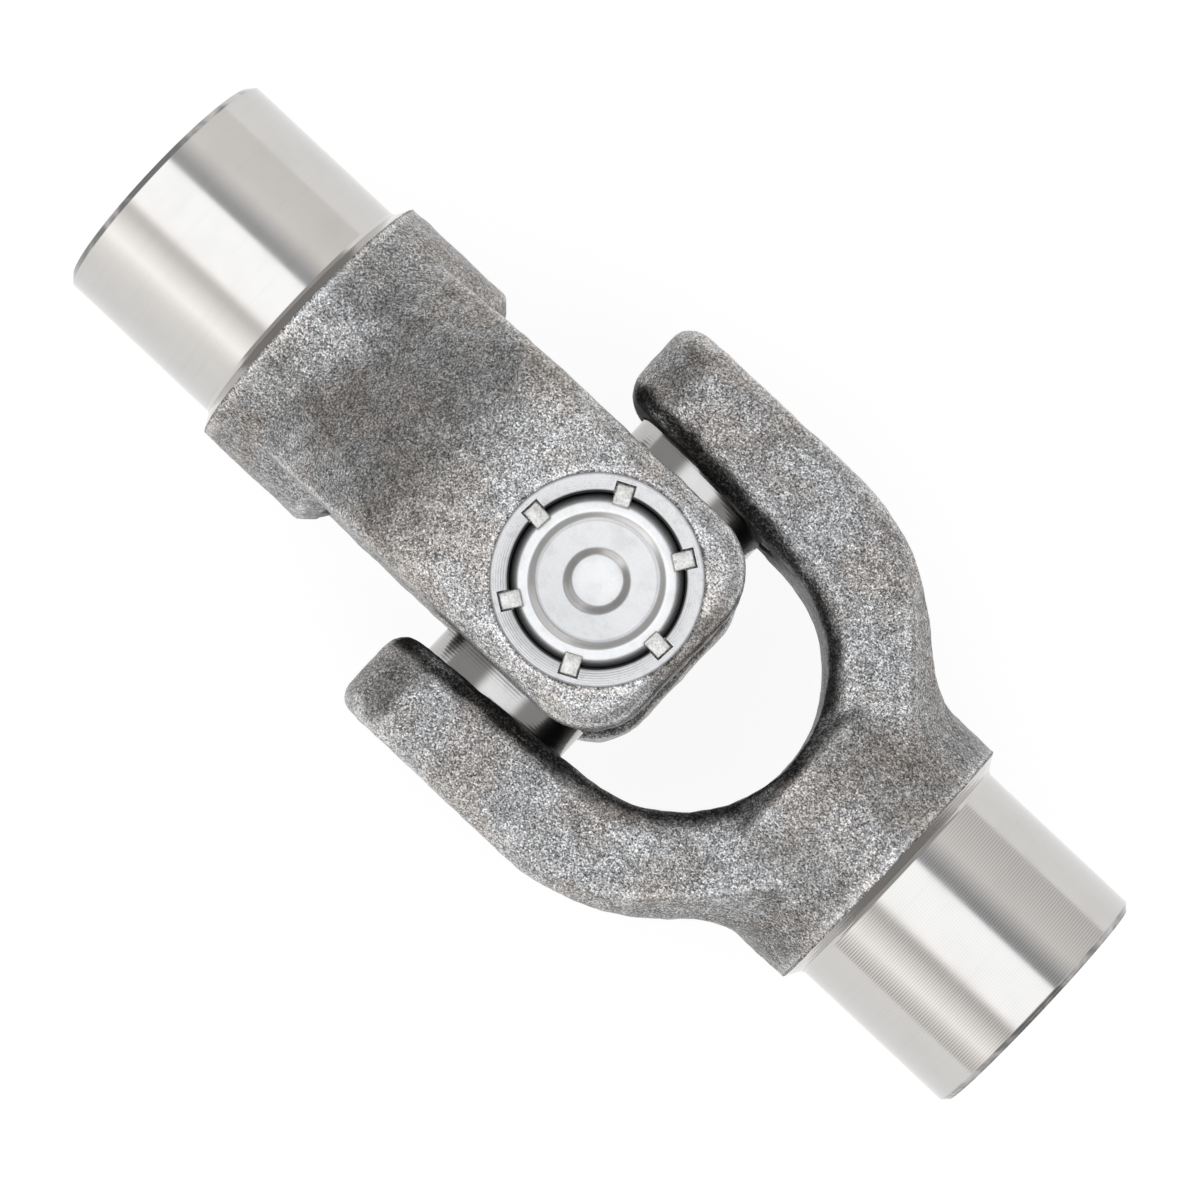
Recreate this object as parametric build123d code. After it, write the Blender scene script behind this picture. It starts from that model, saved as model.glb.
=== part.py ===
from build123d import *
import math
import os

# A steering-shaft universal joint, in millimetres. X runs along the two shafts and the
# origin is the centre of the cross. yoke_a points to -X and carries its bearings on Z,
# yoke_b points to +X and carries its bearings on Y. Both yokes are the same forging.

# Forked end of each yoke, as forged.
ear_reach = 22.6            # axis to the outer face of an ear
ear_half_width = 11.2
ear_tip = 10.3              # bearing axis to the tip
ear_corner = 6.0
ear_outer_edge = 2.0
ear_inner_edge = 2.4
gap_half = 12.6             # half the gap between the ears, at its round bottom
gap_centre = 9.95           # bearing axis to the centre of that round
gap_draft = 4.0             # degrees, the gap opens towards the tips
shoulder_start = 9.5
shoulder_slope = 44.0       # degrees
shoulder_share = 2.29       # radius of the shoulder, in drops from the ear's face to the foot
root_share = 0.935          # radius at the arm's root, in the same drops
foot_sink = 0.25            # how far the arm's foot ends below the hub's skin
foot_cone = 40.0            # degrees, the arm's corners are taken off at this slope
foot_cone_setback = 3.3     # hub's end to the end of that slope
foot_cone_round = 5.0

# Round hub of each yoke, as forged.
hub_radius = 13.55
hub_front_lead = 0.95       # how far the hub's cheeks reach past the bottom of the gap
hub_end = 34.9
hub_front_chamfer = 2.2
hub_front_round = 1.6
hub_valley_round = 2.0      # where the arm's flat side runs into the hub's skin

# Turned end of each yoke.
bevel_length = 0.8
bevel_foot = 0.2            # height of the bevel's foot above the stub
neck_length = 0.35
stub_radius = 11.9
stub_length = 16.8
stub_chamfer = 0.55
centre_pilot_radius = 1.25
centre_pilot_depth = 4.5
centre_pilot_point = 59.0   # degrees, to the axis
centre_cone_radius = 2.65
centre_cone_angle = 30.0    # degrees, to the axis

# Bearing cups, drawn from strip and pressed into the ears.
cup_radius = 7.5
cup_wall = 1.22
cup_sink = 1.05             # spot face down to the rim of the closed end
cup_corner_gap = 2.3        # keeps the mouths of two neighbouring cups apart
cup_floor = 1.25            # thickness of the closed end
cup_shoulder_round = 0.85
cup_press = 0.01            # how much smaller the ear's bore is, on the radius
rim_width = 1.6             # cup's outside to where the rim starts to fall to the sunk middle
rim_slope_width = 0.65
sunk_depth = 0.35
dimple_radius = 2.9
dimple_floor_radius = 2.15
dimple_depth = 0.45
mouth_recess = 0.35         # the mouth is wider than the needle track by this much
mouth_recess_length = 0.9

# Spot faces and stakes round each bore.
spot_width = 1.6            # flat ring outside the bore
spot_depth = 0.35
inner_spot_width = 1.1
inner_spot_depth = 0.12     # below the gap's wall, at the bearing axis
bore_edge = 0.12
stake_count = 6
stake_turn = -4.0           # degrees, from the line of the shaft
stake_width = 1.6
stake_half_length = 0.95    # a stake reaches this far to both sides of the cup's outside
stake_sink = 0.2
stake_seat_gap = 0.03
stake_root = 0.3            # how far a stake is rooted in the bore's wall

# Needle rollers, a full row in each cup.
needle_radius = 1.0
needle_count = 16
needle_clearance = 0.015    # on each side of a needle
needle_end_gap = 0.12

# Rubber seals, on the cross behind each cup's mouth.
seal_flange = 1.42          # thickness of the flange outside the cup
seal_overhang = 0.2         # flange past the cup's outside
seal_mouth_gap = 0.08       # flange to the cup's end
seal_lip_gap = 0.08         # lip to the wide part of the mouth
seal_lip_length = 0.7
seal_edge = 0.35

# Cross.
trunnion_end_gap = 0.15     # trunnion end to the dimple inside the cup
trunnion_chamfer = 0.5
seal_seat_height = 0.85     # step from the needle track up to the seal's seat
seal_seat_overlap = 0.75    # how far the seat runs past the cup's mouth
boss_width = 1.5            # step from the seal's seat up to the boss
boss_stand = 0.9            # how far a boss stands out of the forged middle
body_half_thick = 5.6       # half the forged middle, along X
body_corner = 2.6
body_edge = 1.2
pin_hole_radius = 1.5
pin_hole_depth = 6.0
pin_clearance = 0.03
pin_end_gap = 0.025
pin_chamfer = 0.3

# Used while shaping.
overcut = 1.0               # how far a cutter or a buried end runs past what it meets
skin_sink = 0.05            # how far a buried end stays below the hub's skin
near = 0.01                 # how closely an edge matches a size to be picked
standing = (Align.CENTER, Align.CENTER, Align.MIN)

# Sizes that follow from the ones above.
draft = math.radians(gap_draft)
slope = math.radians(shoulder_slope)
gap_bottom = gap_centre + gap_half
draft_start = (gap_centre + gap_half * math.sin(draft), gap_half * math.cos(draft))
tip_gap = draft_start[1] + (draft_start[0] + ear_tip) * math.tan(draft)
gap_at_bore = draft_start[1] + draft_start[0] * math.tan(draft)
foot_height = hub_radius - foot_sink
shoulder_drop = ear_reach - foot_height
shoulder_radius = shoulder_share * shoulder_drop
root_radius = root_share * shoulder_drop
hub_front = gap_bottom - hub_front_lead
foot_cone_end = hub_end - foot_cone_setback
neck_start = hub_end + bevel_length
stub_start = neck_start + neck_length
stub_end = stub_start + stub_length

bore_radius = cup_radius - cup_press
spot_radius = bore_radius + spot_width
spot_reach = ear_reach - spot_depth
inner_spot_radius = bore_radius + inner_spot_width
inner_spot_reach = gap_at_bore + inner_spot_depth
stake_outer = cup_radius + stake_half_length
stake_inner = cup_radius - stake_half_length

cup_reach = spot_reach - cup_sink
cup_mouth = cup_radius + cup_corner_gap
rim_inner_radius = cup_radius - rim_width
sunk_radius = rim_inner_radius - rim_slope_width
track_radius = cup_radius - cup_wall
cup_inner_end = cup_reach - sunk_depth - cup_floor
dimple_inside = cup_inner_end - dimple_depth
mouth_recess_end = cup_mouth + mouth_recess_length

needle_circle = track_radius - needle_clearance - needle_radius
trunnion_radius = needle_circle - needle_radius - needle_clearance
trunnion_end = dimple_inside - trunnion_end_gap
seal_radius = cup_radius + seal_overhang
seal_seat_radius = trunnion_radius + seal_seat_height
seal_seat_end = cup_mouth + seal_seat_overlap
boss_radius = seal_seat_radius + boss_width
boss_reach = cup_mouth - seal_mouth_gap - seal_flange
body_half = boss_reach - boss_stand


def gap_outline():
    """Open outline of half the gap, from the tip to the bottom of the fork."""
    side = Line((-ear_tip, tip_gap), draft_start)
    bottom = CenterArc((gap_centre, 0), gap_half, 90 - gap_draft, gap_draft - 90)
    return [side, bottom]


def shoulder_outline():
    """Open outline of an arm's outside, from the ear's tip down to the hub."""
    face = Line((-ear_tip, ear_reach), (shoulder_start, ear_reach))
    bend = JernArc(face @ 1, face % 1, shoulder_radius, -shoulder_slope)
    bends_drop = (shoulder_radius + root_radius) * (1 - math.cos(slope))
    straight_length = (shoulder_drop - bends_drop) / math.sin(slope)
    straight = Line(bend @ 1, (bend @ 1) + (bend % 1) * straight_length)
    root = JernArc(straight @ 1, straight % 1, root_radius, shoulder_slope)
    return [face, bend, straight, root]


def fork_blank():
    """Both arms as one block: the side outline, cut to the ear's plan outline."""
    inside = gap_outline()
    outside = shoulder_outline()
    foot = outside[-1] @ 1
    half_edges = inside + outside + [
        Line((gap_bottom, 0), (hub_end, 0)),
        Line((hub_end, 0), (hub_end, foot.Y)),
        Line((hub_end, foot.Y), foot),
        Line((-ear_tip, tip_gap), (-ear_tip, ear_reach)),
    ]
    half = make_face(half_edges)
    side = extrude(half + mirror(half, about=Plane.XZ), ear_half_width, both=True)
    plan_centre = (hub_end - ear_tip) / 2
    plan = Pos(plan_centre, 0, 0) * Box(hub_end + ear_tip, 2 * ear_reach, 2 * ear_half_width)
    tip_edges = plan.edges().filter_by(Axis.Y).group_by(Axis.X)[0]
    return side & fillet(tip_edges, ear_corner)


def rounded_fork():
    """The blank with its long edges rounded, the outer ones and then the inner ones."""
    blank = fork_blank()
    foot_x = (shoulder_outline()[-1] @ 1).X

    def is_seam(edge):
        if edge.geom_type != GeomType.LINE:
            return False
        along = edge % 0.5
        across_arm = abs(along.Z) > 1 - near and (edge @ 0.5).X > near - ear_tip
        return abs(along.Y) > 1 - near or across_arm

    def is_inner(edge):
        middle = edge @ 0.5
        return middle.X < gap_bottom + near and abs(middle.Y) < tip_gap + near

    def on_rim(edge):
        middle = edge @ 0.5
        on_side = abs(abs(middle.Z) - ear_half_width) < near
        return on_side or middle.X < ear_corner - ear_tip

    outer = [e for e in blank.edges()
             if not is_seam(e) and not is_inner(e) and (e @ 0.5).X < foot_x]
    fork = fillet(outer, ear_outer_edge)
    inner = [e for e in fork.edges() if is_inner(e) and not is_seam(e) and on_rim(e)]
    return fillet(inner, ear_inner_edge)


def foot_envelope():
    """Turned envelope that takes the corners off the arms where they run into the hub."""
    end_radius = hub_radius - skin_sink
    cone = math.radians(foot_cone)
    big = math.hypot(ear_reach, ear_half_width) + overcut
    blend = JernArc((foot_cone_end, end_radius), (-1, 0), foot_cone_round, -foot_cone)
    top = (blend @ 1) + (blend % 1) * ((big - (blend @ 1).Y) / math.sin(cone))
    back = -ear_tip - overcut
    outline = [
        blend,
        Line(blend @ 1, top),
        Line(top, (back, big)),
        Line((back, big), (back, 0)),
        Line((back, 0), (hub_end, 0)),
        Line((hub_end, 0), (hub_end, end_radius)),
        Line((hub_end, end_radius), (foot_cone_end, end_radius)),
    ]
    return revolve(make_face(outline), Axis.X, 360)


def along_x(shape):
    """Turns a shape built on +Z so that it lies on +X, from the hub's front."""
    return Plane.YZ * Pos(0, 0, hub_front) * shape


def hub():
    """Round hub with its chamfered front."""
    round_hub = along_x(Cylinder(hub_radius, hub_end - hub_front, align=standing))
    round_hub = chamfer(round_hub.edges().group_by(Axis.X)[0], hub_front_chamfer)
    cheek = [e for e in round_hub.edges().filter_by(GeomType.CIRCLE)
             if abs((e @ 0).X - hub_front - hub_front_chamfer) < near]
    return fillet(cheek, hub_front_round)


def valley_fill():
    """Metal that rounds the valleys between the arms' flat sides and the hub's skin."""
    section = Circle(hub_radius) + Rectangle(2 * ear_reach, 2 * ear_half_width)
    corners = [v for v in section.vertices() if abs(v.X) < hub_radius]
    section = fillet(corners, hub_valley_round)
    centre_distance = hub_radius + hub_valley_round
    centre_height = ear_half_width + hub_valley_round
    half_width = math.sqrt(centre_distance ** 2 - centre_height ** 2)
    section &= Rectangle(2 * half_width, 2 * hub_radius)
    length = hub_end - hub_front
    front_radius = hub_radius - hub_front_chamfer
    front = Cone(front_radius, front_radius + length, length, align=standing)
    return along_x(extrude(section, length)) & along_x(front) & foot_envelope()


def forged_body():
    """Fork and hub as they leave the die."""
    gap = extrude(Pos(gap_centre, 0) * Circle(gap_half), 2 * hub_radius, both=True)
    return (rounded_fork() & foot_envelope()) + (hub() - gap) + (valley_fill() - gap)


def turned_end():
    """Weld bevel, neck and stub, turned on the end of the hub."""
    outline = Polyline(
        (hub_end - overcut, 0),
        (hub_end - overcut, foot_height),
        (hub_end, hub_radius - skin_sink),
        (neck_start, stub_radius + bevel_foot),
        (stub_start, stub_radius),
        (stub_end - stub_chamfer, stub_radius),
        (stub_end, stub_radius - stub_chamfer),
        (stub_end, 0),
        close=True,
    )
    stub = revolve(make_face(outline), Axis.X, 360)
    cone_depth = (centre_cone_radius - centre_pilot_radius) / math.tan(math.radians(centre_cone_angle))
    point_depth = centre_pilot_radius / math.tan(math.radians(centre_pilot_point))
    centre = Polyline(
        (stub_end, 0),
        (stub_end, centre_cone_radius),
        (stub_end - cone_depth, centre_pilot_radius),
        (stub_end - centre_pilot_depth, centre_pilot_radius),
        (stub_end - centre_pilot_depth - point_depth, 0),
        close=True,
    )
    return stub - revolve(make_face(centre), Axis.X, 360)


def along_y(shape):
    """Turns a shape built on +Z so that it lies on +Y."""
    return Rot(-90, 0, 0) * shape


def disc(radius, low, high):
    """A cylinder on +Z between two heights."""
    return Pos(0, 0, low) * Cylinder(radius, high - low, align=standing)


def ear_cuts():
    """What the cutters take off one ear, on +Z: bore, spot faces and stake pockets."""
    cuts = disc(bore_radius, 0, ear_reach + overcut)
    cuts += disc(spot_radius, spot_reach, ear_reach + overcut)
    cuts += disc(inner_spot_radius, 0, inner_spot_reach)
    edge = Cone(bore_radius, bore_radius + bore_edge, bore_edge)
    cuts += Pos(0, 0, spot_reach - bore_edge / 2) * edge
    pocket_length = stake_outer - bore_radius + overcut
    pocket = Box(pocket_length, stake_width, overcut, align=(Align.MAX, Align.CENTER, Align.MIN))
    for turn in stake_turns():
        cuts += Rot(0, 0, turn) * Pos(stake_outer, 0, spot_reach - stake_sink) * pocket
    return cuts


def stake_turns():
    """Angles of the stakes about the bearing axis."""
    return [stake_turn + 360 / stake_count * i for i in range(stake_count)]


def ear_stakes():
    """Metal that the stakes push over the rim of the cup, on +Z."""
    top = spot_reach - stake_sink
    bottom = cup_reach + stake_seat_gap
    length = bore_radius + stake_root - stake_inner
    align = (Align.MIN, Align.CENTER, Align.MIN)
    tongue = Pos(stake_inner, 0, bottom) * Box(length, stake_width, top - bottom, align=align)
    return [Rot(0, 0, turn) * tongue for turn in stake_turns()]


def yoke():
    """One yoke with its shaft on +X and its bearings on Y."""
    body = forged_body() + turned_end()
    for place in (Rot(0, 0, 0), Rot(180, 0, 0)):
        body -= place * along_y(ear_cuts())
        for tongue in ear_stakes():
            body += place * along_y(tongue)
    return body


def cup():
    """A drawn cup on +Z, open towards the cross."""
    shoulder = cup_reach - cup_shoulder_round
    outline = [
        Line((track_radius + mouth_recess, cup_mouth), (cup_radius, cup_mouth)),
        Line((cup_radius, cup_mouth), (cup_radius, shoulder)),
        CenterArc((cup_radius - cup_shoulder_round, shoulder), cup_shoulder_round, 0, 90),
        Line((cup_radius - cup_shoulder_round, cup_reach), (rim_inner_radius, cup_reach)),
        Polyline(
            (rim_inner_radius, cup_reach),
            (sunk_radius, cup_reach - sunk_depth),
            (dimple_radius, cup_reach - sunk_depth),
            (dimple_floor_radius, cup_reach - sunk_depth - dimple_depth),
            (0, cup_reach - sunk_depth - dimple_depth),
            (0, dimple_inside),
            (dimple_floor_radius, dimple_inside),
            (dimple_radius, cup_inner_end),
            (track_radius, cup_inner_end),
            (track_radius, mouth_recess_end),
            (track_radius + mouth_recess, mouth_recess_end),
            (track_radius + mouth_recess, cup_mouth),
        ),
    ]
    return revolve(Plane.XZ * make_face(outline), Axis.Z, 360)


def needles():
    """The full row of rollers of one cup, on +Z."""
    low = mouth_recess_end + needle_end_gap
    high = cup_inner_end - needle_end_gap
    roller = Pos(needle_circle, 0, 0) * disc(needle_radius, low, high)
    step = 360 / needle_count
    return Compound([Rot(0, 0, step * i) * roller for i in range(needle_count)])


def seal():
    """A rubber ring on +Z, with a flange outside the cup and a lip inside its mouth."""
    flange_top = cup_mouth - seal_mouth_gap
    lip_radius = track_radius + mouth_recess - seal_lip_gap
    lip_top = cup_mouth + seal_lip_length
    outline = Polyline(
        (seal_seat_radius, boss_reach),
        (seal_radius - seal_edge, boss_reach),
        (seal_radius, boss_reach + seal_edge),
        (seal_radius, flange_top),
        (lip_radius, flange_top),
        (lip_radius, lip_top),
        (seal_seat_radius, lip_top),
        close=True,
    )
    return revolve(Plane.XZ * make_face(outline), Axis.Z, 360)


def thrust_pin():
    """A plastic pin on +Z, in the trunnion's hole and against the cup's dimple."""
    low = trunnion_end - pin_hole_depth
    high = dimple_inside - pin_end_gap
    pin = disc(pin_hole_radius - pin_clearance, low, high)
    return chamfer(pin.edges().filter_by(GeomType.CIRCLE), pin_chamfer)


def trunnion():
    """One arm of the cross on +Z: boss, seal seat and needle track."""
    track = disc(trunnion_radius, 0, trunnion_end)
    track = chamfer(track.edges().group_by(Axis.Z)[-1], trunnion_chamfer)
    return disc(boss_radius, 0, boss_reach) + disc(seal_seat_radius, 0, seal_seat_end) + track


def cross():
    """Forged cross with four ground trunnions."""
    body = Box(2 * body_half_thick, 2 * body_half, 2 * body_half)
    body = fillet(body.edges().filter_by(Axis.X), body_corner)
    body = fillet(body.edges().group_by(Axis.X)[0] + body.edges().group_by(Axis.X)[-1], body_edge)
    for turn in bearing_turns.values():
        body += turn * trunnion()
    for turn in bearing_turns.values():
        body -= turn * disc(pin_hole_radius, trunnion_end - pin_hole_depth, trunnion_end + overcut)
    return body


# The four bearings, each built on +Z and turned to its ear.
bearing_turns = {
    "a_top": Rot(0, 0, 0),
    "a_bottom": Rot(180, 0, 0),
    "b_left": Rot(-90, 0, 0),
    "b_right": Rot(90, 0, 0),
}

yoke_shape = yoke()
parts = {
    "yoke_a": Rot(0, 0, 180) * Rot(90, 0, 0) * yoke_shape,
    "yoke_b": yoke_shape,
    "cross": cross(),
}
for ear, turn in bearing_turns.items():
    parts["cup_" + ear] = turn * cup()
    parts["needles_" + ear] = turn * needles()
    parts["seal_" + ear] = turn * seal()
    parts["thrust_pin_" + ear] = turn * thrust_pin()

os.makedirs("parts", exist_ok=True)
for name, shape in parts.items():
    export_step(shape, "parts/" + name + ".step")
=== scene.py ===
import math
import bmesh
import bpy
from mathutils import Matrix, Vector, noise


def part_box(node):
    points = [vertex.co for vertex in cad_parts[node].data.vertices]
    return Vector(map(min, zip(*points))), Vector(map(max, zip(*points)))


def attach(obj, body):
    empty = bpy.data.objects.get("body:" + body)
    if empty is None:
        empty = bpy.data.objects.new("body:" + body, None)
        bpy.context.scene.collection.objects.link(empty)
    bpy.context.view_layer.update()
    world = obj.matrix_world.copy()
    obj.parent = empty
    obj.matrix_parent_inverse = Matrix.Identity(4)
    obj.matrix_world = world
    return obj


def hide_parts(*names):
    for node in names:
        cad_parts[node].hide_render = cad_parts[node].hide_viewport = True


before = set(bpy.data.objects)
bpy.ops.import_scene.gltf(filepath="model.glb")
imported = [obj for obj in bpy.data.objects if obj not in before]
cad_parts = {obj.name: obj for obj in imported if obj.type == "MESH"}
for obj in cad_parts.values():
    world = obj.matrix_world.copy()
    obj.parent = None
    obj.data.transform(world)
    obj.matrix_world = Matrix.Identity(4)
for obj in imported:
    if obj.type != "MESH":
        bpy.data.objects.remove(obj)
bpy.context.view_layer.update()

# The two yokes are one and the same steel forging: a fork with two ears, and a round hub behind it.
# The blank leaves the dies with rounded edges and a coarse, shot-blasted skin, with the trimmed flash
# as a faint line round its middle. The bores, spot faces and stub are then cut bright.
MM = 0.001
YOKE_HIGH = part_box("yoke_b")[1]
STUB_END = YOKE_HIGH[0] / MM
EAR_FACE = YOKE_HIGH[1] / MM
BEARING_AXIS = {"yoke_a": "Z", "yoke_b": "Y"}
PARTING_AXIS = {"yoke_a": "Y", "yoke_b": "Z"}


class Wire:
    """One output of a shader node. Sums that are written with wires add their Math nodes."""

    def __init__(self, finish, socket):
        self.finish = finish
        self.socket = socket

    def math(self, operation, *values):
        """What a Math node makes of this value, and of any others after it."""
        return self.finish.add("Math", {"operation": operation}, dict(enumerate((self, *values))))

    def other(self, name):
        """Another output of the same node."""
        return Wire(self.finish, self.socket.node.outputs[name])

    def rise(self, low, high):
        """Goes smoothly from 0 to 1 while the value goes from low to high."""
        sockets = {"Value": self, "From Min": low, "From Max": high}
        return self.finish.add("MapRange", {"interpolation_type": "SMOOTHSTEP"}, sockets)

    def rings(self, pitch):
        """Goes from 0 to 1 and back each time the value grows by the pitch."""
        phase = self * (2 * math.pi / pitch)
        return 0.5 + 0.5 * phase.math("SINE")

    def __add__(self, value):
        return self.math("ADD", value)

    def __sub__(self, value):
        return self.math("SUBTRACT", value)

    def __rsub__(self, value):
        return self.finish.add("Math", {"operation": "SUBTRACT"}, {0: value, 1: self})

    def __mul__(self, value):
        return self.math("MULTIPLY", value)

    __radd__ = __add__
    __rmul__ = __mul__


class Finish:
    """The nodes of one material, or of the studio's surroundings."""

    def __init__(self, owner):
        owner.use_nodes = True
        self.owner = owner
        self.nodes = owner.node_tree.nodes
        self.links = owner.node_tree.links

    def join(self, socket, value):
        """Sets a socket to a number, a colour or a vector, or links a wire to it."""
        if isinstance(value, Wire):
            self.links.new(value.socket, socket)
        elif socket.type == "RGBA":
            socket.default_value = (*value, 1)
        else:
            socket.default_value = value

    def add(self, kind, settings={}, sockets={}, output=0):
        """Adds a node: its settings first, then the values or wires of its sockets."""
        node = self.nodes.new("ShaderNode" + kind)
        for name, value in settings.items():
            if name == "stops":
                while len(node.color_ramp.elements) < len(value):
                    node.color_ramp.elements.new(1.0)
                for stop, (place, colour) in zip(node.color_ramp.elements, value):
                    stop.position = place
                    stop.color = (*colour, 1)
            else:
                setattr(node, name, value)
        for name, value in sockets.items():
            self.join(node.inputs[name], value)
        return Wire(self, node.outputs[output])

    def point(self):
        """The point on the piece, in millimetres."""
        at = self.add("TexCoord", output="Object")
        return self.add("VectorMath", {"operation": "SCALE"}, {0: at, "Scale": 1 / MM})

    def part_of(self, vector, axis):
        """One coordinate of a point, or one channel of a colour."""
        return self.add("SeparateXYZ", {}, {0: vector}, axis)

    def reach(self, at, axis):
        """How far a point is from the joint's centre along an axis, to either side."""
        return self.part_of(at, axis).math("ABSOLUTE")

    def radius(self, at, one, other):
        """How far a point is from an axis, from its two coordinates across that axis."""
        x = self.part_of(at, one)
        y = self.part_of(at, other)
        return (x * x + y * y).math("SQRT")

    def patches(self, at, size, detail=2.0, roughness=0.5):
        """Soft random patches of about a size in millimetres, mostly between 0.3 and 0.7."""
        sockets = {"Vector": at, "Scale": 1 / size, "Detail": detail, "Roughness": roughness}
        return self.add("TexNoise", {}, sockets)

    def blend(self, share, one, other, kind="MIX"):
        """Mixes two colours."""
        settings = {"data_type": "RGBA", "blend_type": kind}
        return self.add("Mix", settings, {0: share, 6: one, 7: other}, 2)

    def dents(self, height, depth, strength):
        """Turns a height from 0 to 1 into dents of a depth in millimetres."""
        sockets = {"Strength": strength, "Distance": depth * MM, "Height": height}
        return self.add("Bump", {}, sockets)

    def surface(self, **values):
        """Sets the sockets of the surface's shader."""
        shader = self.nodes["Principled BSDF"]
        for name, value in values.items():
            self.join(shader.inputs[name.replace("_", " ")], value)
        return self.owner


# The spot face that is cut round each bearing. The skin just round it carries a painted shadow of the
# spot face's wall.
SPOT_RADIUS = 9.09
SPOT_FACE = EAR_FACE - 0.35

# Forged skin: its greys from pit to spark, its two tints, and the black shade painted inside the fork.
SKIN_PIT = (0.055, 0.055, 0.056)
SKIN_GREY = (0.25, 0.25, 0.252)
SKIN_LIGHT = (0.54, 0.542, 0.546)
SKIN_SPARK = (0.92, 0.925, 0.94)
TINT_PLAIN = (1.01, 1.005, 1.0)
TINT_BROWN = (0.93, 0.875, 0.825)
FORK_SHADE_BLACK = (0.03, 0.03, 0.03)
SHOT_DENTS_PER_MM = 6.0
SHOT_DENT_DEPTH = 0.048
SHOT_DENT_WARP = 0.20
SHOT_DENT_WARP_SIZE = 0.4
GRAIN_SIZE = 0.15
MOTTLE_SIZE = 1.5
TINT_PATCH = 8.0
SIDE_PAINTED_SHADE = {"yoke_a": 0.0, "yoke_b": 0.11}


def forged_skin(name):
    """Shot-blasted forging skin: a coarse sparkle of dents over plain and brownish patches."""
    steel = Finish(bpy.data.materials.new(name + "_skin"))
    at = steel.point()
    warp = steel.patches(at, SHOT_DENT_WARP_SIZE).other("Color")
    warp = steel.add("VectorMath", {"operation": "SCALE"}, {0: warp, "Scale": SHOT_DENT_WARP})
    warped = steel.add("VectorMath", {"operation": "ADD"}, {0: at, 1: warp})
    dent = steel.add("TexVoronoi", {}, {"Vector": warped, "Scale": SHOT_DENTS_PER_MM})
    chip = steel.part_of(dent.other("Color"), "X")
    grain = steel.patches(at, GRAIN_SIZE, 2.0, 0.6)
    mottle = steel.patches(at, MOTTLE_SIZE)

    relief = steel.add("Attribute", {"attribute_name": "relief"}, output="Fac")
    # From the relief: valleys are painted darker, a painted shade; edges are painted lighter, partly
    # rubbed wear and partly a painted highlight.
    edges = relief.rise(0.04, 0.38)
    valleys = (0 - relief).rise(0.05, 0.5)
    off_parting = steel.reach(at, PARTING_AXIS[name])
    flash = 1 - (off_parting + mottle - 0.5).rise(0.1, 0.55)
    # Painted shade: on yoke_b the flanks round the parting line are painted darker, as they face
    # sideways, away from the light above.
    shaded_sides = 1 - off_parting.rise(5.5, 10.8)
    ear_faces = steel.reach(at, BEARING_AXIS[name]).rise(EAR_FACE - 2.0, EAR_FACE - 0.3)
    # Painted shadow: the skin just outside the spot face is painted darker, as the shadow of the spot
    # face's wall.
    off_bearing = steel.radius(at, "X", PARTING_AXIS[name]) + 0.35 * (mottle - 0.5)
    spot_wall_shadow = 1 - off_bearing.rise(SPOT_RADIUS + 0.08, SPOT_RADIUS + 0.34)

    tone = 0.222 + 0.48 * chip + 1.8 * (grain - 0.5) + 0.36 * (mottle - 0.5)
    tone = tone + 0.22 * edges - 0.24 * valleys + 0.07 * flash + 0.075 * ear_faces
    tone = tone - SIDE_PAINTED_SHADE[name] * shaded_sides - 0.36 * spot_wall_shadow
    greys = [(0.0, SKIN_PIT), (0.42, SKIN_GREY), (0.72, SKIN_LIGHT), (1.0, SKIN_SPARK)]
    grey = steel.add("ValToRGB", {"stops": greys}, {0: tone})
    brown = steel.patches(at, TINT_PATCH, 3.0, 0.6).rise(0.42, 0.62)
    colour = steel.blend(1.0, grey, steel.blend(brown, TINT_PLAIN, TINT_BROWN), "MULTIPLY")
    # Painted shade: inside the fork the walls that face the gap are painted near black, the dent chips
    # a little less.
    scale = steel.add("Attribute", {"attribute_name": "scale"}, output="Fac")
    colour = steel.blend(scale * (0.95 - 0.5 * chip * chip), colour, FORK_SHADE_BLACK)
    roughness = 0.32 + 0.14 * (1 - tone).rise(0.2, 0.9)
    normal = steel.dents(0.40 * dent + 0.60 * grain, SHOT_DENT_DEPTH, 0.9)
    return steel.surface(Base_Color=colour, Metallic=0.85, Roughness=roughness, Normal=normal)


# Turned end: a weld bevel and a neck behind the stub, and a centre hole left from the lathe.
STUB_RADIUS = 11.9
STUB_START = STUB_END - 16.8
STUB_CHAMFER = 0.55
STUB_FACETS = 256
BEVEL_START = STUB_START - 2.01
NECK_START = STUB_START - 0.35
NECK_RADIUS = STUB_RADIUS + 0.2
CENTRE_RADIUS = 2.65
CENTRE_CONE_END = STUB_END - 2.35
CENTRE_PILOT_RADIUS = 1.25
CENTRE_PILOT_END = STUB_END - 4.5
CENTRE_POINT = STUB_END - 5.25
TURNED_STEEL = (0.60, 0.585, 0.57)
GROOVE_SHADE_AND_SMEAR = (0.32, 0.31, 0.305)
CHAMFER_DARK = (0.05, 0.05, 0.052)
FEED = {"yoke_a": 0.13, "yoke_b": 0.25}
GROOVE_DEPTH = {"yoke_a": 0.0016, "yoke_b": 0.011}
GROOVE_WANDER = 0.02


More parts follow.
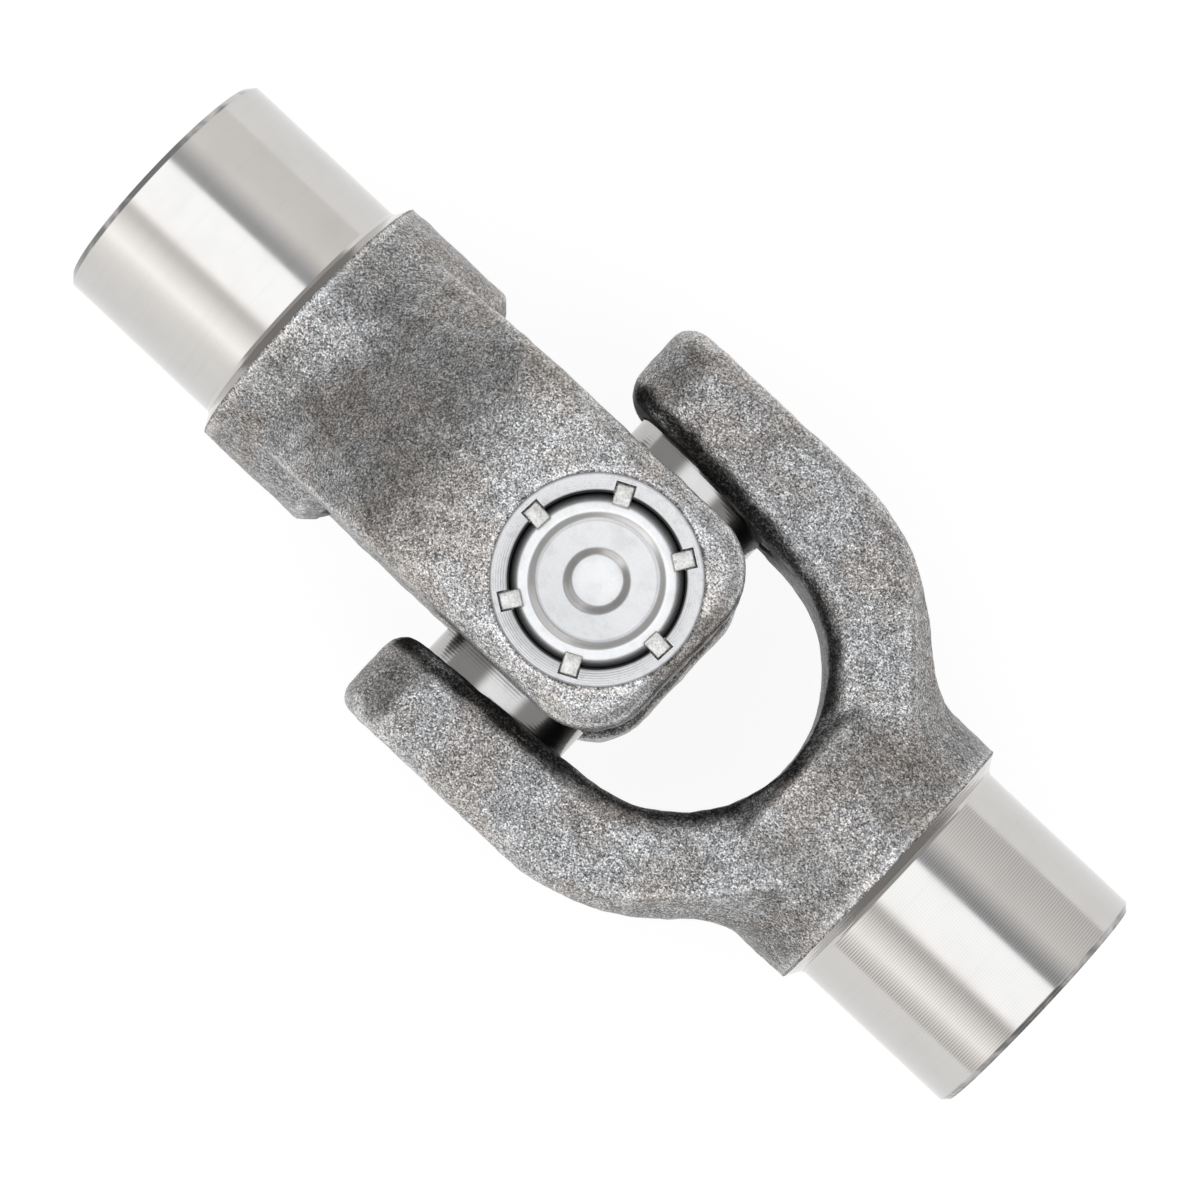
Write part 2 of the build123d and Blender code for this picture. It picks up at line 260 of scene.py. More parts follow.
def turned_steel(name):
    """Steel turned on the shaft's axis: rings from the tool's feed with painted shade in their grooves,
    and a chamfer dark in places.
    """
    steel = Finish(bpy.data.materials.new(name + "_turned"))
    at = steel.point()
    along = steel.reach(at, "X")
    radius = steel.radius(at, "Y", "Z")
    stretched = steel.add("VectorMath", {"operation": "MULTIPLY"}, {0: at, 1: (1, 0.02, 0.02)})
    uneven = steel.patches(stretched, 0.6, 4.0, 0.7)
    smear = steel.patches(at, 4.0)
    faced = along.rise(STUB_END - 0.12, STUB_END - 0.02)
    travel = along + (radius - along) * faced
    ring = (travel + GROOVE_WANDER * uneven).rings(FEED[name])

    # Painted shade: the feed grooves are painted darker the deeper they are. The uneven and smeared
    # patches are the steel's own tone.
    dark = 8 * GROOVE_DEPTH[name] * (1 - ring).rise(0.55, 1.0)
    dark = dark + 0.05 * (1 - uneven).rise(0.50, 0.70) + 0.04 * smear.rise(0.45, 0.70)
    colour = steel.blend(dark, TURNED_STEEL, GROOVE_SHADE_AND_SMEAR)
    chamfer = along.rise(STUB_END - 0.60, STUB_END - 0.50)
    chamfer = chamfer * radius.rise(STUB_RADIUS - 0.62, STUB_RADIUS - 0.55)
    # The chamfer is darker, more in some patches than in others.
    chamfer_patches = steel.patches(at, 6.0, 3.0, 0.6).rise(0.42, 0.58)
    colour = steel.blend(chamfer * (0.20 + 0.60 * chamfer_patches), colour, CHAMFER_DARK)
    roughness = 0.10 + 0.04 * smear.rise(0.40, 0.70) + 0.04 * uneven
    normal = steel.dents(0.9 * ring + 0.1 * uneven, GROOVE_DEPTH[name], 1.0)
    return steel.surface(Base_Color=colour, Metallic=1.0, Roughness=roughness, Normal=normal)


# Bored ears: a bore for the cup, and a spot face in each ear's face and inside the fork.
BORE_RADIUS = 7.49
BORE_EDGE = 0.12
BORE_FACETS = 192
INNER_SPOT_RADIUS = 8.59
INNER_SPOT_FACE = 13.446
CUT_STEEL = (0.61, 0.61, 0.613)
CUT_MARK = (0.24, 0.24, 0.245)
BORE_PAINTED_SHADE = (0.05, 0.05, 0.051)
CUTTER_RINGS = 0.21


def bored_steel(name):
    """Spot faces and bores: satin steel with the rings that the cutter leaves round the bearing."""
    steel = Finish(bpy.data.materials.new(name + "_bored"))
    at = steel.point()
    radius = steel.radius(at, "X", PARTING_AXIS[name])
    uneven = steel.patches(at, 0.9, 3.0, 0.6)
    speck = steel.patches(at, 0.22, 2.0, 0.7)
    ring = (radius + 0.05 * uneven).rings(CUTTER_RINGS)

    dark = 0.30 * (1 - uneven).rise(0.45, 0.75) + 0.5 * speck.rise(0.60, 0.74)
    # Painted shadow: a thin dark ring at the spot face's outer edge, under its wall.
    dark = dark + 0.75 * radius.rise(SPOT_RADIUS - 0.20, SPOT_RADIUS - 0.06)
    colour = steel.blend(dark, CUT_STEEL, CUT_MARK)
    # Painted shade: the bore's wall and its edge are painted near black, as the gap round the cup lies
    # in shade.
    bore = 1 - radius.rise(BORE_RADIUS + 0.13, BORE_RADIUS + 0.24)
    colour = steel.blend(bore, colour, BORE_PAINTED_SHADE)
    normal = steel.dents(0.8 * ring + 0.2 * speck, 0.012, 0.8)
    return steel.surface(Base_Color=colour, Metallic=1.0, Roughness=0.30 + 0.14 * uneven, Normal=normal)


def yoke_to_joint(name):
    """Turns a yoke that lies with its shaft on +X and its bearings on Y to its place in the joint."""
    if name == "yoke_b":
        return Matrix.Identity(4)
    return Matrix.Rotation(math.pi, 4, "Z") @ Matrix.Rotation(math.pi / 2, 4, "X")


def along_bearing(side):
    """Turns a shape on X to the bearing axis of a yoke that lies with its shaft on +X."""
    return Matrix.Rotation(side * math.pi / 2, 4, "Z")


def lathe(outline, turns, finish=0):
    """A closed turned shape on X from the points (along, radius) of its outline, in millimetres."""
    shape = bmesh.new()
    rings = []
    for along, radius in outline:
        if radius == 0:
            rings.append([shape.verts.new((along, 0, 0))])
            continue
        ring = []
        for i in range(turns):
            angle = 2 * math.pi * i / turns
            ring.append(shape.verts.new((along, radius * math.cos(angle), radius * math.sin(angle))))
        rings.append(ring)
    for near, far in zip(rings, rings[1:] + rings[:1]):
        if len(near) == 1 and len(far) == 1:
            continue
        for i in range(turns):
            j = (i + 1) % turns
            corners = [near[i % len(near)], near[j % len(near)], far[j % len(far)], far[i % len(far)]]
            shape.faces.new(list(dict.fromkeys(corners))).material_index = finish
    bmesh.ops.recalc_face_normals(shape, faces=shape.faces)
    return shape


def to_mesh(shape, name, place=Matrix.Identity(4)):
    """Writes a shape in millimetres to a mesh in metres, at its place in the joint."""
    shape.transform(place)
    shape.transform(Matrix.Scale(MM, 4))
    mesh = bpy.data.meshes.new(name)
    shape.to_mesh(mesh)
    shape.free()
    return mesh


def to_object(mesh, name, *finishes):
    """Puts a mesh in the scene as an object with its finishes."""
    piece = bpy.data.objects.new(name, mesh)
    bpy.context.scene.collection.objects.link(piece)
    for finish in finishes:
        mesh.materials.append(finish)
    return piece


def with_modifier(piece, kind, **settings):
    """Applies one modifier to a piece."""
    modifier = piece.modifiers.new(kind, kind)
    for name, value in settings.items():
        setattr(modifier, name, value)
    bpy.context.view_layer.update()
    seen = piece.evaluated_get(bpy.context.evaluated_depsgraph_get())
    done = bpy.data.meshes.new_from_object(seen)
    piece.modifiers.clear()
    old = piece.data
    piece.data = done
    bpy.data.meshes.remove(old)


# The blank, as it leaves the dies: the stub's metal is still a plain bar as thick as the hub.
HUB_RADIUS = 13.55
HUB_FILL_START = 30.0
HUB_FILL_END = STUB_END + 1
EAR_FILL_START = 15.0
EAR_FILL_RADIUS = SPOT_RADIUS + 0.2
FILLING_FACETS = 128
SKIN_VOXEL = 0.42
SKIN_LOSS = 0.09
FLASH_WIDTH = 0.7
FLASH_HEIGHT = 0.06


def blank(name, *fillings):
    """A forging before it is machined: a node's own shape with its cut places filled up."""
    shape = bmesh.new()
    shape.from_mesh(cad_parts[name].data)
    bmesh.ops.remove_doubles(shape, verts=shape.verts, dist=1e-7)
    shape.transform(Matrix.Scale(1 / MM, 4))
    for turn, outline in fillings:
        filling = lathe(outline, FILLING_FACETS)
        filling.transform(turn)
        copy = bpy.data.meshes.new("filling")
        filling.to_mesh(copy)
        filling.free()
        shape.from_mesh(copy)
        bpy.data.meshes.remove(copy)
    piece = to_object(to_mesh(shape, name), name + "_forging")
    piece.data.materials.clear()
    with_modifier(piece, "REMESH", mode="VOXEL", voxel_size=SKIN_VOXEL * MM, adaptivity=0)
    return piece


def roughen(piece, back):
    """Moves a blank's skin in and out as the dies and the shot have left it, within its own box."""
    low = Vector(min(c[i] for c in piece.bound_box) for i in range(3))
    high = Vector(max(c[i] for c in piece.bound_box) for i in range(3))
    normals = [v.normal.copy() for v in piece.data.vertices]
    for v, normal in zip(piece.data.vertices, normals):
        at = v.co / MM
        swell = 0.10 * noise.noise(at / 7.0)
        lumps = 0.085 * noise.noise(at / 2.3 + Vector((7, 3, 1)))
        pits = 0.065 * noise.noise(at / 1.05 + Vector((1, 9, 4)))
        off_parting = abs((back @ at).z + 0.3 * noise.noise(at / 5.0))
        flash = FLASH_HEIGHT * max(0.0, 1 - off_parting / FLASH_WIDTH)
        moved = v.co + normal * (swell + lumps + pits + flash - SKIN_LOSS) * MM
        v.co = [min(max(moved[i], low[i]), high[i]) for i in range(3)]


# Where black shade is painted: on the walls that face the gap's middle line.
GAP_CENTRE = 9.95
GAP_END = GAP_CENTRE + 13.5
GAP_SIDE = EAR_FACE - 4
SHADE_FACING = 0.22
SHADE_FADE = 0.28
SHADE_EASE_START = 5.0
SHADE_EASE_LENGTH = 7.0
SHADE_EASING = 0.28


def mark_fork_shade(piece, back):
    """Writes where dark shade is painted: inside the fork, on the walls that face the gap's middle
    line.
    """
    scale = piece.data.attributes.new("scale", "FLOAT", "POINT")
    turn = back.to_3x3()
    for i, v in enumerate(piece.data.vertices):
        at = back @ v.co / MM
        out = Vector((max(at.x - GAP_CENTRE, 0.0), at.y, 0)).normalized()
        inward = -(turn @ v.normal).dot(out)
        ragged = 0.18 * noise.noise(v.co / MM / 1.6) + 0.10 * noise.noise(v.co / MM / 0.5)
        deep = min(max((at.x - SHADE_EASE_START) / SHADE_EASE_LENGTH, 0.0), 1.0)
        share = (inward + ragged - SHADE_FACING - SHADE_EASING * deep) / SHADE_FADE
        in_gap = abs(at.y) < GAP_SIDE and at.x < GAP_END
        scale.data[i].value = min(max(share, 0.0), 1.0) * in_gap


def mark_relief(piece):
    """Writes how far each point stands out of its surroundings: edges above 0, valleys below."""
    flowed = to_object(piece.data.copy(), "flowed")
    with_modifier(flowed, "SMOOTH", factor=0.5, iterations=60)
    relief = piece.data.attributes.new("relief", "FLOAT", "POINT")
    for i, v in enumerate(piece.data.vertices):
        relief.data[i].value = (v.co - flowed.data.vertices[i].co).dot(v.normal) / MM
    bpy.data.objects.remove(flowed)


# Which of a forging's finishes a cut leaves, and how far a cutter runs past the metal.
TURNED = 1
BORED = 2
BORE_CUT_START = 5.0
CUT_BEYOND = 1.5
SPOT_FLARE = 0.25
LATHE_CUT_END = STUB_END + 3
LATHE_CUT_RADIUS = 15.0


def cut(piece, cutters):
    """Takes the cutters' shapes off a piece. The new faces keep the cutter's finish."""
    finishes = list(piece.data.materials)
    for cutter in cutters:
        tool = to_object(cutter, "cutter", *finishes)
        with_modifier(piece, "BOOLEAN", operation="DIFFERENCE", object=tool, solver="MANIFOLD")
        bpy.data.objects.remove(tool)


# Staking: six grooves round each bore, where the tool has pushed the ear's metal over the cup.
STAKES = 6
STAKE_TURN = -4.0
STAKE_WIDTH = 1.6
STAKE_START = 6.55
STAKE_END = 8.45
STAKE_FACE = SPOT_FACE - 0.2
STAKE_GROOVE = 0.09
STAKE_GROOVE_DEPTH = 0.15


def bar(low, high, round_off):
    """A block between two corners, in millimetres, with its edges rounded."""
    shape = bmesh.new()
    bmesh.ops.create_cube(shape, size=1)
    low = Vector(low)
    high = Vector(high)
    for v in shape.verts:
        v.co = [low[i] + (high[i] - low[i]) * (v.co[i] + 0.5) for i in range(3)]
    if round_off:
        edges = shape.edges[:]
        bmesh.ops.bevel(shape, geom=edges, offset=round_off, segments=3, profile=0.5, affect="EDGES")
    return shape


def stake_bar(widen, bottom, top, round_off=0.0):
    """One stake, or the groove round it, pointing to +Y of a bearing that lies on X."""
    half = STAKE_WIDTH / 2 + widen
    return bar((bottom, STAKE_START, -half), (top, STAKE_END + widen, half), round_off)


def stake_places():
    """Turns that carry one stake, built on X by the bearing's axis, to the places of all of them."""
    step = 360 / STAKES
    return [Matrix.Rotation(math.radians(STAKE_TURN + step * i), 4, "X") for i in range(STAKES)]


def ear_cutters(name):
    """What is cut from the two ears: bore, spot faces and the grooves that the stakes leave."""
    bored = [
        (BORE_CUT_START, 0), (BORE_CUT_START, INNER_SPOT_RADIUS),
        (INNER_SPOT_FACE, INNER_SPOT_RADIUS), (INNER_SPOT_FACE, BORE_RADIUS),
        (SPOT_FACE - BORE_EDGE / 2, BORE_RADIUS), (SPOT_FACE, BORE_RADIUS + BORE_EDGE),
        (SPOT_FACE, SPOT_RADIUS), (EAR_FACE + CUT_BEYOND, SPOT_RADIUS + SPOT_FLARE),
        (EAR_FACE + CUT_BEYOND, 0),
    ]
    cutters = []
    for side in (1, -1):
        place = yoke_to_joint(name) @ along_bearing(side)
        cutters.append(to_mesh(lathe(bored, BORE_FACETS, BORED), "bore", place))
        for turn in stake_places():
            groove = stake_bar(STAKE_GROOVE, STAKE_FACE - STAKE_GROOVE_DEPTH, EAR_FACE + 1)
            groove.transform(turn)
            cutters.append(to_mesh(groove, "groove", place))
    return cutters


def turning_cutter(name):
    """What is turned off the hub's end: weld bevel, neck, stub and centre hole."""
    turned = [
        (BEVEL_START, LATHE_CUT_RADIUS), (NECK_START, NECK_RADIUS), (STUB_START, STUB_RADIUS),
        (STUB_END - STUB_CHAMFER, STUB_RADIUS), (STUB_END, STUB_RADIUS - STUB_CHAMFER),
        (STUB_END, CENTRE_RADIUS), (CENTRE_CONE_END, CENTRE_PILOT_RADIUS),
        (CENTRE_PILOT_END, CENTRE_PILOT_RADIUS), (CENTRE_POINT, 0),
        (LATHE_CUT_END, 0), (LATHE_CUT_END, LATHE_CUT_RADIUS),
    ]
    return to_mesh(lathe(turned, STUB_FACETS, TURNED), "turning", yoke_to_joint(name))


SHARP_ANGLE = math.radians(28)


def sharpen(mesh, all_machined=False):
    """Makes the faces smooth, and leaves the machined edges sharp."""
    shape = bmesh.new()
    shape.from_mesh(mesh)
    for face in shape.faces:
        face.smooth = True
    for edge in shape.edges:
        machined = all_machined or any(face.material_index for face in edge.link_faces)
        if machined and len(edge.link_faces) == 2:
            edge.smooth = edge.calc_face_angle() < SHARP_ANGLE
    shape.to_mesh(mesh)
    shape.free()


for name in ("yoke_a", "yoke_b"):
    place = yoke_to_joint(name)
    hub = [
        (HUB_FILL_START, 0), (HUB_FILL_START, HUB_RADIUS),
        (HUB_FILL_END, HUB_RADIUS), (HUB_FILL_END, 0),
    ]
    plug = [
        (EAR_FILL_START, 0), (EAR_FILL_START, EAR_FILL_RADIUS),
        (EAR_FACE, EAR_FILL_RADIUS), (EAR_FACE, 0),
    ]
    fillings = [(place, hub)] + [(place @ along_bearing(side), plug) for side in (1, -1)]
    forging = blank(name, *fillings)
    roughen(forging, place.inverted())
    for finish in (forged_skin(name), turned_steel(name), bored_steel(name)):
        forging.data.materials.append(finish)
    cut(forging, ear_cutters(name) + [turning_cutter(name)])
    mark_relief(forging)
    mark_fork_shade(forging, place.inverted())
    sharpen(forging.data)
    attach(forging, name)
    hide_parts(name)

# The cross is a small forging with four ground trunnions, which run in the bearing cups. Its middle
# keeps the skin from the dies.
CROSS_SKIN_END = 7.9
CROSS_GRAIN = 0.3
CROSS_MOTTLE = 2.0


def cross_steel():
    """Forged skin in the middle of the cross, ground steel on its trunnions."""
    steel = Finish(bpy.data.materials.new("cross_steel"))
    at = steel.point()
    reach = steel.reach(at, "Y").math("MAXIMUM", steel.reach(at, "Z"))
    ground = reach.rise(CROSS_SKIN_END, CROSS_SKIN_END + 0.3)
    grain = steel.patches(at, CROSS_GRAIN, 3.0, 0.7)
    mottle = steel.patches(at, CROSS_MOTTLE)
    tone = 1.5 * (grain - 0.5) + 1.2 * (mottle - 0.5) + 0.36
    greys = [(0.0, SKIN_PIT), (0.5, SKIN_GREY), (1.0, SKIN_LIGHT)]
    grey = steel.add("ValToRGB", {"stops": greys}, {0: tone})
    colour = steel.blend(ground, grey, CUT_STEEL)
    roughness = 0.46 - 0.24 * ground + 0.1 * (mottle - 0.5)
    normal = steel.dents(grain, 0.12, 0.8)
    return steel.surface(Base_Color=colour, Metallic=0.9, Roughness=roughness, Normal=normal)


def refinish(node, finish):
    """Gives a CAD node its finish."""
    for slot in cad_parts[node].material_slots:
        slot.link = "OBJECT"
        slot.material = finish


refinish("cross", cross_steel())

# Four rubber seals sit on the cross behind the cups' mouths and keep the grease in. They are moulded,
# and pushed over the trunnions before the cups go on.
EARS = {
    "a_top": ("yoke_a", 1),
    "a_bottom": ("yoke_a", -1),
    "b_left": ("yoke_b", 1),
    "b_right": ("yoke_b", -1),
}
RUBBER_BLACK = (0.014, 0.014, 0.015)
RUBBER_DUST = (0.075, 0.07, 0.066)


def seal_rubber():
    """Black rubber with a little dust and moulding marks."""
    rubber = Finish(bpy.data.materials.new("seal_rubber"))
    at = rubber.point()
    marks = rubber.patches(at, 0.15, 3.0, 0.7)
    dust = rubber.patches(at, 1.6, 3.0, 0.6)
    colour = rubber.blend(dust.rise(0.5, 0.8) * 0.5, RUBBER_BLACK, RUBBER_DUST)
    normal = rubber.dents(marks, 0.03, 0.7)
    return rubber.surface(Base_Color=colour, Roughness=0.52 + 0.3 * dust.rise(0.4, 0.7), Normal=normal)


rubber = seal_rubber()
for ear in EARS:
    refinish("seal_" + ear, rubber)

# A plastic pin stands in the end hole of each trunnion. The cup's end runs against it, so the joint
# has no end play.
PLASTIC_PALE = (0.80, 0.77, 0.68)
PLASTIC_GREASY = (0.66, 0.61, 0.48)


def pin_plastic():
    """Pale plastic, with fine turning marks and a film of grease."""
    plastic = Finish(bpy.data.materials.new("pin_plastic"))
    at = plastic.point()
    film = plastic.patches(at, 0.8)
    colour = plastic.blend(film.rise(0.4, 0.7), PLASTIC_PALE, PLASTIC_GREASY)
    normal = plastic.dents(plastic.patches(at, 0.12), 0.01, 0.6)
    return plastic.surface(Base_Color=colour, Roughness=0.30 + 0.3 * film, Normal=normal)


plastic = pin_plastic()
for ear in EARS:
    refinish("thrust_pin_" + ear, plastic)

# A full row of hardened needle rollers runs between each trunnion and its cup, in grease. Only the
# trunnion and the cup hold them, with no cage.
NEEDLE_BRIGHT = (0.75, 0.75, 0.75)
NEEDLE_GREASY = (0.50, 0.46, 0.38)


def needle_steel():
    """Polished rollers with a film of grease."""
    steel = Finish(bpy.data.materials.new("needle_steel"))
    at = steel.point()
    film = steel.patches(at, 0.5)
    colour = steel.blend(film.rise(0.45, 0.7), NEEDLE_BRIGHT, NEEDLE_GREASY)
    normal = steel.dents(steel.patches(at, 0.2), 0.004, 0.6)
    return steel.surface(Base_Color=colour, Metallic=1.0, Roughness=0.12 + 0.15 * film, Normal=normal)


rollers = needle_steel()
for ear in EARS:
    refinish("needles_" + ear, rollers)

# Four bearing cups are drawn from thin strip, hardened and ground outside, and pressed into the ears.
# The closed end is satin, with a rounded rim, a sunk middle and a dimple that the pin runs against.
CUP_LOW, CUP_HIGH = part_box("cup_a_top")
CUP_RADIUS = CUP_HIGH[0] / MM
CUP_REACH = CUP_HIGH[2] / MM
CUP_MOUTH = CUP_LOW[2] / MM
CUP_TRACK = CUP_RADIUS - 1.22
CUP_FLOOR = 1.25
CUP_SHOULDER = 1.0
CUP_FACETS = 160
CUP_RIM = CUP_RADIUS - 1.6
CUP_FOOT = CUP_RIM - 0.75
CUP_SINK = 0.35
CUP_DIMPLE = 0.45
DIMPLE_TOP = 3.0
DIMPLE_FLOOR = 2.05
CUP_STEEL = (0.69, 0.69, 0.69)
CUP_SHADE = (0.20, 0.20, 0.205)
CUP_WALL_PAINTED_SHADE = (0.20, 0.185, 0.17)
GRINDING_RINGS = 0.3


def arc(centre, radius, steps=10):
    """Points (along, radius) of a quarter round, from outside to the end."""
    points = []
    for i in range(steps + 1):
        angle = math.pi / 2 * i / steps
        points.append((centre[0] + radius * math.sin(angle), centre[1] + radius * math.cos(angle)))
    return points


def ease(start, end, steps=8):
    """Points of a soft step from one (along, radius) to another."""
    points = []
    for i in range(steps + 1):
        share = i / steps
        drop = (1 - math.cos(math.pi * share)) / 2
        points.append((start[0] + (end[0] - start[0]) * drop, start[1] + (end[1] - start[1]) * share))
    return points


def cup_outline():
    """Outline of a cup on +X, closed end outside."""
    sunk = CUP_REACH - CUP_SINK
    inside = sunk - CUP_FLOOR
    recess = CUP_MOUTH + 0.9
    recess_radius = CUP_TRACK + 0.35
    edge = [(CUP_MOUTH, CUP_RADIUS - 0.15), (CUP_MOUTH + 0.15, CUP_RADIUS)]
    shoulder = arc((CUP_REACH - CUP_SHOULDER, CUP_RADIUS - CUP_SHOULDER), CUP_SHOULDER)
    slope = ease((CUP_REACH, CUP_RIM + 0.1), (sunk, CUP_FOOT))
    dimple = ease((sunk, DIMPLE_TOP), (sunk - CUP_DIMPLE, DIMPLE_FLOOR)) + [(sunk - CUP_DIMPLE, 0)]
    back = [(inside - CUP_DIMPLE, 0), (inside - CUP_DIMPLE, 2.15), (inside, 2.9), (inside, CUP_TRACK)]
    mouth = [(recess, CUP_TRACK), (recess, recess_radius), (CUP_MOUTH, recess_radius)]
    return edge + shoulder + slope + dimple + back + mouth


def cup_steel(ear, yoke):
    """Ground outside with painted shade on the wall, satin end with faint drawing marks and a painted
    shade line at the foot of the rim.
    """
    steel = Finish(bpy.data.materials.new("cup_" + ear + "_steel"))
    at = steel.point()
    along = steel.reach(at, BEARING_AXIS[yoke])
    radius = steel.radius(at, "X", PARTING_AXIS[yoke])
    uneven = steel.patches(at, 1.7, 3.0, 0.6)
    grain = steel.patches(at, 0.16, 3.0, 0.7)
    end = along.rise(CUP_REACH - 1.4, CUP_REACH - 1.1)
    # Painted shade: a darker line where the rim's slope meets the sunk middle.
    foot = 1 - (radius - (CUP_RIM - 0.72)).math("ABSOLUTE").rise(0.05, 0.20)
    middle = 1 - radius.rise(CUP_RIM - 0.9, CUP_RIM - 0.6)
    dimple = 1 - radius.rise(1.5, 2.2)
    rim = radius.rise(CUP_RIM, CUP_RIM + 0.3)
    shoulder = radius.rise(CUP_RADIUS - 0.85, CUP_RADIUS - 0.6)
    # Painted shade: the cup's outer wall down in the bore, seen in the gap round its end, is painted
    # near black.
    below = along.rise(CUP_MOUTH + 4, CUP_MOUTH + 4.5)
    below = below * radius.rise(CUP_RADIUS - 0.34, CUP_RADIUS - 0.02)

    dark = 0.36 * foot + 0.26 * middle - 0.12 * dimple + 0.11 * rim + 0.30 * (grain - 0.5)
    dark = end * dark + 0.10 * uneven.rise(0.45, 0.7)
    colour = steel.blend(dark, CUP_STEEL, CUP_SHADE)
    # Painted shade: the ground wall is painted darker and a little brown, as the ears round it shade
    # it.
    colour = steel.blend(0.45 * (1 - end), colour, CUP_WALL_PAINTED_SHADE)
    colour = steel.blend(0.85 * below, colour, BORE_PAINTED_SHADE)
    roughness = 0.12 + end * (0.14 + 0.28 * shoulder) + 0.06 * uneven
    ring = (1 - end) * along.rings(GRINDING_RINGS)
    normal = steel.dents(0.4 * ring + 0.6 * grain * (0.25 + 0.75 * end), 0.006, 0.8)
    return steel.surface(Base_Color=colour, Metallic=1.0, Roughness=roughness, Normal=normal)


for ear, (yoke, side) in EARS.items():
    place = along_bearing(side)
    if yoke == "yoke_a":
        place = Matrix.Rotation(-side * math.pi / 2, 4, "Y")
    drawn = to_mesh(lathe(cup_outline(), CUP_FACETS), "cup_" + ear, place)
    piece = to_object(drawn, "cup_" + ear + "_drawn", cup_steel(ear, yoke))
    sharpen(piece.data, True)
    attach(piece, yoke)
    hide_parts("cup_" + ear)

# Last of all each ear is staked: a blunt chisel drives six small tongues of its metal over the rim of
# the cup, so that it can't creep out.
STAKE_EDGE = 0.16
STAKE_CLEARANCE = 0.01
STAKE_BRIGHT = (0.82, 0.81, 0.79)
STAKE_SPECK = (0.10, 0.10, 0.105)


def stake_steel():
    """Metal that the staking tool has bruised: light, with dark specks and soft dents."""
    steel = Finish(bpy.data.materials.new("stake_steel"))
    at = steel.point()
    fine = steel.patches(at, 0.18, 3.0, 0.7)
    coarse = steel.patches(at, 0.6)
    colour = steel.blend(1.3 * fine + 0.6 * coarse - 0.80, STAKE_BRIGHT, STAKE_SPECK)
    normal = steel.dents(0.5 * fine + 0.5 * coarse, 0.09, 0.9)
    return steel.surface(Base_Color=colour, Metallic=1.0, Roughness=0.34 + 0.2 * coarse, Normal=normal)


def gather(shapes):
    """Joins shapes into one."""
    whole = bmesh.new()
    for shape in shapes:
        copy = bpy.data.meshes.new("copy")
        shape.to_mesh(copy)
        shape.free()
        whole.from_mesh(copy)
        bpy.data.meshes.remove(copy)
    return whole


bruised = stake_steel()
for ear, (yoke, side) in EARS.items():
    tongues = []
    for i, turn in enumerate(stake_places()):
        tongue = stake_bar(-STAKE_CLEARANCE, CUP_REACH + 0.02, STAKE_FACE, STAKE_EDGE)
        for v in tongue.verts:
            lump = noise.noise(v.co / 0.7 + Vector((i * 5, side * 3, len(ear))))
            v.co.x += min(0.0, 0.06 * lump - 0.02)
        tongue.transform(turn)
        tongues.append(tongue)
    place = yoke_to_joint(yoke) @ along_bearing(side)
    piece = to_object(to_mesh(gather(tongues), "stakes_" + ear, place), "stakes_" + ear, bruised)
    for face in piece.data.polygons:
        face.use_smooth = True
    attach(piece, yoke)

# The joint lies on a plain white table. Its white is only what the camera and shiny surfaces see, and
# it lights nothing else.
FLOOR_HALF = 3000
FLOOR_TOP = -EAR_FACE - 0.02
FLOOR_GREY = (0.18, 0.18, 0.18)
FLOOR_LIFT = 0.88

floor_shape = bmesh.new()
bmesh.ops.create_grid(floor_shape, x_segments=1, y_segments=1, size=FLOOR_HALF)
table = Finish(bpy.data.materials.new("table"))
ray = table.add("LightPath", output="Is Camera Ray")
seen = ray.math("MAXIMUM", ray.other("Is Glossy Ray")).math("MAXIMUM", ray.other("Is Transmission Ray"))
lift = table.blend(seen, (0, 0, 0), (1, 1, 1))
table.surface(Base_Color=FLOOR_GREY, Roughness=0.9, Emission_Color=lift, Emission_Strength=FLOOR_LIFT)
floor_mesh = to_mesh(floor_shape, "floor", Matrix.Translation((0, 0, FLOOR_TOP)))
floor = to_object(floor_mesh, "floor", table.owner)

# The light is a white tent over the joint, with one wide soft light in its top. A seam beside that
# light and a grey frame on its other side are the darker bands in the polished steel. The cloth is
# dimmer over yoke_b than over yoke_a, and dimmest at the tent's two ends.
TENT_PLACES = {
    "wall foot": [-1.0],
    "wall": [-0.90],
    "seam": [-0.63, -0.56],
    "light": [-0.45, 0.27],
    "frame": [0.32, 0.43],
    "cloth": [0.70],
    "cloth foot": [1.0],
}
TENT_OVER_A = {
    "wall foot": 1.12, "wall": 1.60, "seam": 0.90, "light": 1.62,
    "frame": 0.52, "cloth": 1.01, "cloth foot": 0.94,
}
TENT_OVER_B = {
    "wall foot": 0.50, "wall": 1.27, "seam": 0.60, "light": 1.56,
    "frame": 0.35, "cloth": 0.84, "cloth foot": 0.64,
}
TENT_MIDDLE = (-0.12, 0.04)
TENT_END_A = (-0.62, -0.36)
TENT_END_B = (0.38, 0.60)
TENT_END_LEVEL = 0.44
TENT_COLOUR = (1.015, 1.0, 0.985)
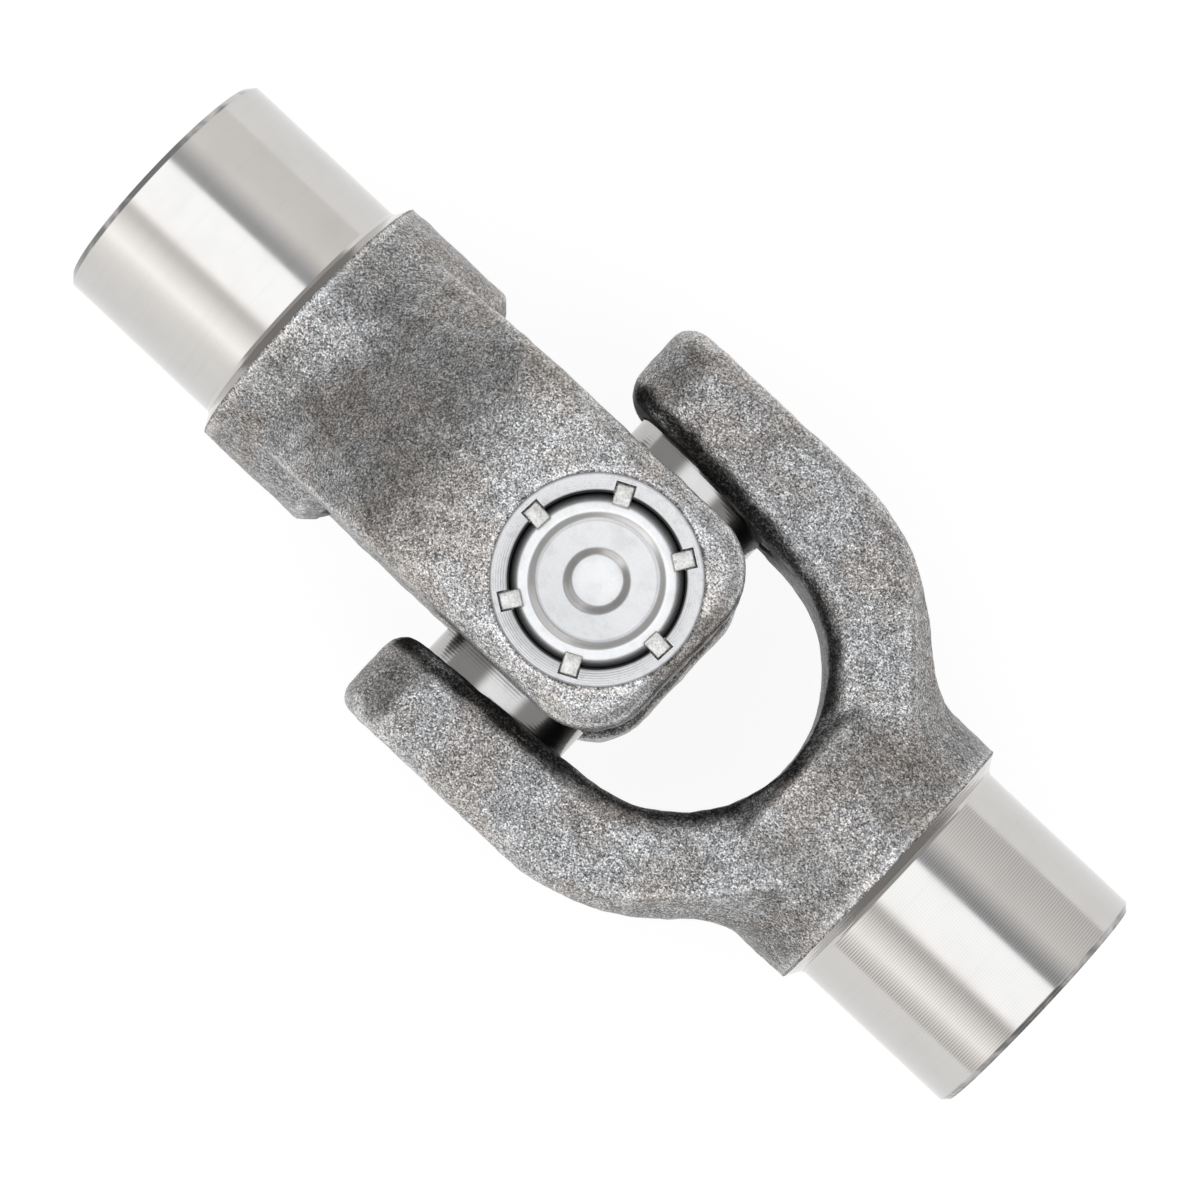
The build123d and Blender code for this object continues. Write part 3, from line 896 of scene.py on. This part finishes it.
LIGHT_COLOUR = (0.983, 1.0, 1.022)


def tent_over(levels):
    """The tent's level over one of the yokes, from one side of the shafts to the other."""
    stops = []
    for part, places in TENT_PLACES.items():
        for place in places:
            stops.append(((place + 1) / 2, [levels[part] / 2] * 3))
    return 2 * tent.add("ValToRGB", {"stops": stops}, {0: 0.5 * across + 0.5})


tent = Finish(bpy.data.worlds.new("tent"))
bpy.context.scene.world = tent.owner
way = tent.add("TexCoord", output="Generated")
along = tent.part_of(way, "X")
across = tent.part_of(way, "Y")
over_a = tent_over(TENT_OVER_A)
over_b = tent_over(TENT_OVER_B)
level = over_a + (over_b - over_a) * along.rise(*TENT_MIDDLE)
corners = 0.16 * (across * across).rise(0.1, 0.4)
inside = (along - corners).rise(*TENT_END_A) * (1 - along.rise(*TENT_END_B))
level = TENT_END_LEVEL + (level - TENT_END_LEVEL) * inside
light = across.rise(-0.50, -0.40) * (1 - across.rise(0.50, 0.60)) * inside
sky = tent.nodes["Background"]
tent.join(sky.inputs["Strength"], level)
tent.join(sky.inputs["Color"], tent.blend(light, TENT_COLOUR, LIGHT_COLOUR))

# The camera looks straight down on the joint, as in the photograph, from a little over half a metre.
CAMERA_AT = Vector((20.559, -17.926, 557.914)) * MM
CAMERA_RIGHT = Vector((0.72874, 0.68478, -0.00459))
CAMERA_BACK = Vector((0.03581, -0.03141, 0.99886)).normalized()
CAMERA_LENS = 190.43
CAMERA_SENSOR = 36

camera = bpy.data.objects.new("camera", bpy.data.cameras.new("camera"))
bpy.context.scene.collection.objects.link(camera)
camera.data.lens = CAMERA_LENS
camera.data.sensor_width = CAMERA_SENSOR
camera.data.clip_start = 0.01
camera_up = CAMERA_BACK.cross(CAMERA_RIGHT).normalized()
camera_right = camera_up.cross(CAMERA_BACK)
turned = Matrix((camera_right, camera_up, CAMERA_BACK)).transposed()
camera.matrix_world = Matrix.Translation(CAMERA_AT) @ turned.to_4x4()
bpy.context.scene.camera = camera

bpy.context.scene.view_settings.view_transform = "Standard"
